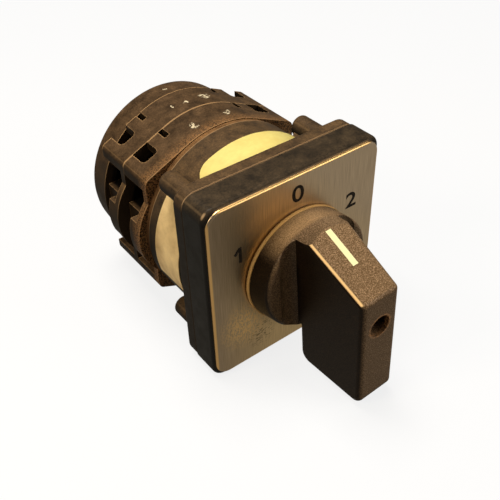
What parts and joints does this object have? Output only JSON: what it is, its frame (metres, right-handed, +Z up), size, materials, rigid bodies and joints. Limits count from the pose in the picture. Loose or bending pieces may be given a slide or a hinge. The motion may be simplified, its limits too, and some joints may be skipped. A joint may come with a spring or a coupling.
{
  "type": "rotary cam switch",
  "caption": "Rotary cam switch with a finger-bar knob, a square brushed dial plate and stacked contact cells behind the panel.",
  "frame": {"origin": "on the switch axis in the panel plane, where the front frame meets the rear flange", "axes": "+X to the right seen from the knob, +Y from the knob to the rear, +Z up; the knob faces -Y"},
  "size_m": [0.05, 0.0829, 0.048],
  "materials": {
    "gold_plate": "brushed, gold-toned",
    "frame_plastic": "satin",
    "housing_plastic": "satin",
    "cell_plastic": "satin",
    "partition_board": "dull",
    "yellow_label": "satin",
    "foil_label": "satin",
    "knob_plastic": "fine grained",
    "pointer_inlay": "plain",
    "inner_plastic": "plain",
    "screw_steel": "plated",
    "spring_steel": "bright",
    "contact_brass": "satin"
  },
  "bodies": {
    "switch_body": {"dial_plate": "gold_plate", "front_frame": "frame_plastic", "mechanism_housing": "housing_plastic", "top_label": "yellow_label", "side_label": "foil_label", "partition_plate": "partition_board", "contact_cell_1": "cell_plastic", "contact_cell_2": "cell_plastic", "end_cap": "cell_plastic", "tie_bolts": "screw_steel", "tie_nuts": "screw_steel", "detent_spring_upper": "spring_steel", "detent_spring_lower": "spring_steel", "terminal_screws_1": "screw_steel", "terminal_clamps_1": "screw_steel", "return_spring_1_upper": "spring_steel", "fixed_contact_1_upper_left": "contact_brass", "fixed_contact_1_upper_right": "contact_brass", "return_spring_1_lower": "spring_steel", "fixed_contact_1_lower_left": "contact_brass", "fixed_contact_1_lower_right": "contact_brass", "terminal_screws_2": "screw_steel", "terminal_clamps_2": "screw_steel", "return_spring_2_upper": "spring_steel", "fixed_contact_2_upper_left": "contact_brass", "fixed_contact_2_upper_right": "contact_brass", "return_spring_2_lower": "spring_steel", "fixed_contact_2_lower_left": "contact_brass", "fixed_contact_2_lower_right": "contact_brass"},
    "rotor": {"knob": "knob_plastic", "pointer_strip": "pointer_inlay", "knob_screw": "screw_steel", "shaft": "screw_steel", "detent_wheel": "inner_plastic", "cam_1": "inner_plastic", "cam_2": "inner_plastic"},
    "pusher_1_upper": {"plunger_1_upper": "inner_plastic", "bridge_1_upper": "contact_brass"},
    "pusher_1_lower": {"plunger_1_lower": "inner_plastic", "bridge_1_lower": "contact_brass"},
    "pusher_2_upper": {"plunger_2_upper": "inner_plastic", "bridge_2_upper": "contact_brass"},
    "pusher_2_lower": {"plunger_2_lower": "inner_plastic", "bridge_2_lower": "contact_brass"}
  },
  "joints": [
    {"name": "knob_turn", "type": "hinge", "parent": "switch_body", "child": "rotor", "pos_m": [0, 0, 0], "axis": [0, 1, 0], "range_deg": [-60, 60], "deforming": ["detent_spring_upper", "detent_spring_lower"]},
    {"name": "push_1_upper", "type": "slide", "parent": "switch_body", "child": "pusher_1_upper", "axis": [0, 0, 1], "range_m": [-0.0015, 0.0015], "deforming": ["return_spring_1_upper"]},
    {"name": "push_1_lower", "type": "slide", "parent": "switch_body", "child": "pusher_1_lower", "axis": [0, 0, 1], "range_m": [-0.0015, 0.0015], "deforming": ["return_spring_1_lower"]},
    {"name": "push_2_upper", "type": "slide", "parent": "switch_body", "child": "pusher_2_upper", "axis": [0, 0, 1], "range_m": [-0.0015, 0.0015], "deforming": ["return_spring_2_upper"]},
    {"name": "push_2_lower", "type": "slide", "parent": "switch_body", "child": "pusher_2_lower", "axis": [0, 0, 1], "range_m": [-0.0015, 0.0015], "deforming": ["return_spring_2_lower"]}
  ],
  "couplings": [
    {"joint": "push_1_upper", "follows": "knob_turn", "m_per_rad": 0.0014324},
    {"joint": "push_1_lower", "follows": "knob_turn", "m_per_rad": 0.0014324},
    {"joint": "push_2_upper", "follows": "knob_turn", "m_per_rad": 0.0014324},
    {"joint": "push_2_lower", "follows": "knob_turn", "m_per_rad": 0.0014324}
  ]
}
